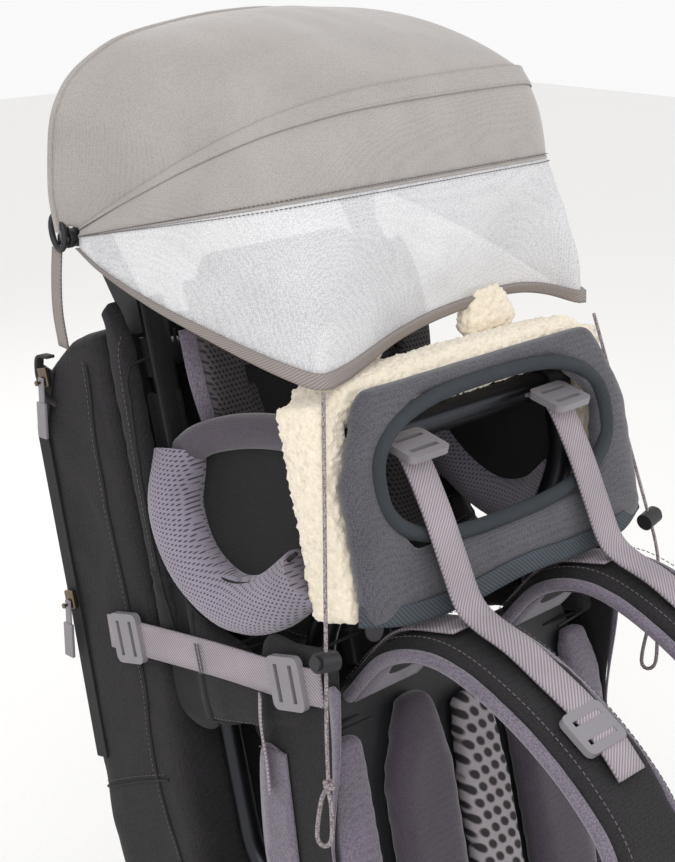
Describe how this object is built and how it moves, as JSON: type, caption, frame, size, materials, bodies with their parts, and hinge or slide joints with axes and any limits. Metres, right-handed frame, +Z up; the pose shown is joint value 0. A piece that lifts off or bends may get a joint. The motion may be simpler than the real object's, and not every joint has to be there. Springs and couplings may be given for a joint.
{
  "type": "baby carrier backpack",
  "caption": "Framed child carrier backpack with folding sun canopy and mesh visor, padded harness, hip belt, face pad, rear bag and fold-out kickstand.",
  "frame": {"origin": "on the ground, under the middle of the overall box, standing on the open kickstand", "axes": "+Z up, +X to the right seen from the wearer's side, +Y from the wearer towards the rear bag"},
  "size_m": [0.3654, 0.588, 0.9009],
  "materials": {
    "frame_tube": "dark anodised, satin",
    "stand_tube": "clear anodised, satin",
    "lug_plastic": "fine moulded texture",
    "foot_rubber": "matt",
    "pin_steel": "zinc plated",
    "button_plastic": "moulded, semi gloss",
    "pad_aubergine": "soft knitted pad cover",
    "mesh_honeycomb": "open spacer mesh over dark knit",
    "bag_weave": "coated plain weave, satin",
    "air_mesh": "spacer air mesh",
    "strap_weave": "coated plain weave, satin",
    "webbing": "herringbone webbing",
    "buckle_plastic": "moulded acetal, satin",
    "zip_tape": "coil zip tape",
    "zip_metal": "aged plated",
    "pull_plastic": "moulded tab on cord",
    "pad_jersey": "heather jersey with dark slate binding",
    "fleece": "teddy fleece",
    "canopy_cloth": "light taffeta",
    "canopy_net": "fine white insect mesh",
    "rod_fibre": "pultruded rod",
    "cord_elastic": "braided elastic cord",
    "lock_plastic": "moulded"
  },
  "bodies": {
    "pack": {"frame_uprights": "frame_tube", "frame_cross_bars": "frame_tube", "frame_lugs": "lug_plastic", "base_feet": "foot_rubber", "seat_tubes": "frame_tube", "stand_hubs": "lug_plastic", "pivot_pins": "pin_steel", "back_plate": "lug_plastic", "back_pads": "pad_aubergine", "lumbar_pad": "mesh_honeycomb", "wing_pads": "bag_weave", "rear_bag": "bag_weave", "bag_flanks": "bag_weave", "lower_bag": "bag_weave", "zip_track": "zip_tape", "seat_base": "bag_weave", "seat_skirts": "air_mesh", "backrest": "bag_weave", "headrest": "pad_aubergine", "child_straps": "air_mesh", "child_buckle": "buckle_plastic", "cockpit_sides": "bag_weave", "rim_pads": "air_mesh", "side_sleeves": "bag_weave", "face_pad": "pad_jersey", "face_fleece": "fleece", "fleece_ears": "fleece", "strap_webbing": "webbing", "ladder_locks": "buckle_plastic", "compression_straps": "webbing", "chest_webbing": "webbing", "chest_buckle_socket": "buckle_plastic", "hip_webbing": "webbing", "hip_buckle_socket": "buckle_plastic", "canopy_brackets": "lug_plastic", "canopy_rear_rod": "rod_fibre", "canopy_roof": "canopy_cloth", "cord_lock_barrels": "lock_plastic", "shoulder_strap_left": "strap_weave", "hip_wing_left": "strap_weave", "tension_cord_left": "cord_elastic", "shoulder_strap_right": "strap_weave", "hip_wing_right": "strap_weave", "tension_cord_right": "cord_elastic"},
    "kickstand": {"kickstand_tube": "stand_tube", "kickstand_feet": "foot_rubber"},
    "stand_button_left": {"stand_button_left": "button_plastic"},
    "stand_button_right": {"stand_button_right": "button_plastic"},
    "canopy_front": {"canopy_front_rod": "rod_fibre", "canopy_visor": "canopy_cloth", "canopy_mesh": "canopy_net"},
    "cord_plunger_left": {"cord_plunger_left": "lock_plastic"},
    "cord_plunger_right": {"cord_plunger_right": "lock_plastic"},
    "zip_slider_upper": {"zip_slider_upper": "zip_metal"},
    "zip_pull_upper": {"zip_pull_upper": "pull_plastic"},
    "zip_slider_lower": {"zip_slider_lower": "zip_metal"},
    "zip_pull_lower": {"zip_pull_lower": "pull_plastic"},
    "chest_plug": {"chest_buckle_plug": "buckle_plastic"},
    "hip_plug": {"hip_buckle_plug": "buckle_plastic"},
    "child_button": {"child_buckle_button": "button_plastic"}
  },
  "joints": [
    {"name": "stand_fold", "type": "hinge", "parent": "pack", "child": "kickstand", "pos_m": [0, 0.09215, 0.26443], "axis": [1, 0, 0], "range_deg": [-45, 0]},
    {"name": "stand_button_left_press", "type": "slide", "parent": "kickstand", "child": "stand_button_left", "axis": [1, 0, 0], "range_m": [0, 0.003], "stiffness_N_per_m": 300, "springref_m": -0.001},
    {"name": "stand_button_right_press", "type": "slide", "parent": "kickstand", "child": "stand_button_right", "axis": [-1, 0, 0], "range_m": [0, 0.003], "stiffness_N_per_m": 300, "springref_m": -0.001},
    {"name": "canopy_fold", "type": "hinge", "parent": "pack", "child": "canopy_front", "pos_m": [0, 0.24284, 0.75439], "axis": [1, 0, 0], "range_deg": [-36, 0], "deforming": ["canopy_roof"]},
    {"name": "cord_plunger_left_press", "type": "slide", "parent": "pack", "child": "cord_plunger_left", "axis": [0.9787, -0.0507, -0.199], "range_m": [0, 0.0024], "stiffness_N_per_m": 250, "springref_m": -0.001},
    {"name": "cord_plunger_right_press", "type": "slide", "parent": "pack", "child": "cord_plunger_right", "axis": [-0.9787, -0.0507, -0.199], "range_m": [0, 0.0024], "stiffness_N_per_m": 250, "springref_m": -0.001},
    {"name": "zip_upper_slide", "type": "slide", "parent": "pack", "child": "zip_slider_upper", "axis": [0, 0.23, -0.9732], "range_m": [0, 0.034]},
    {"name": "zip_pull_upper_swing", "type": "hinge", "parent": "zip_slider_upper", "child": "zip_pull_upper", "pos_m": [-0.157, 0.27297, 0.64588], "axis": [1, 0, 0], "range_deg": [-60, 60]},
    {"name": "zip_lower_slide", "type": "slide", "parent": "pack", "child": "zip_slider_lower", "axis": [0, 0.219, 0.9757], "range_m": [0, 0.1]},
    {"name": "zip_pull_lower_swing", "type": "hinge", "parent": "zip_slider_lower", "child": "zip_pull_lower", "pos_m": [-0.157, 0.25461, 0.47791], "axis": [1, 0, 0], "range_deg": [-60, 60]},
    {"name": "chest_buckle_release", "type": "slide", "parent": "pack", "child": "chest_plug", "axis": [-1, 0, 0], "range_m": [0, 0.024]},
    {"name": "hip_buckle_release", "type": "slide", "parent": "pack", "child": "hip_plug", "axis": [-1, 0, 0], "range_m": [0, 0.024]},
    {"name": "child_button_press", "type": "slide", "parent": "pack", "child": "child_button", "axis": [0, 0.969, -0.247], "range_m": [0, 0.002], "stiffness_N_per_m": 400, "springref_m": -0.001}
  ]
}
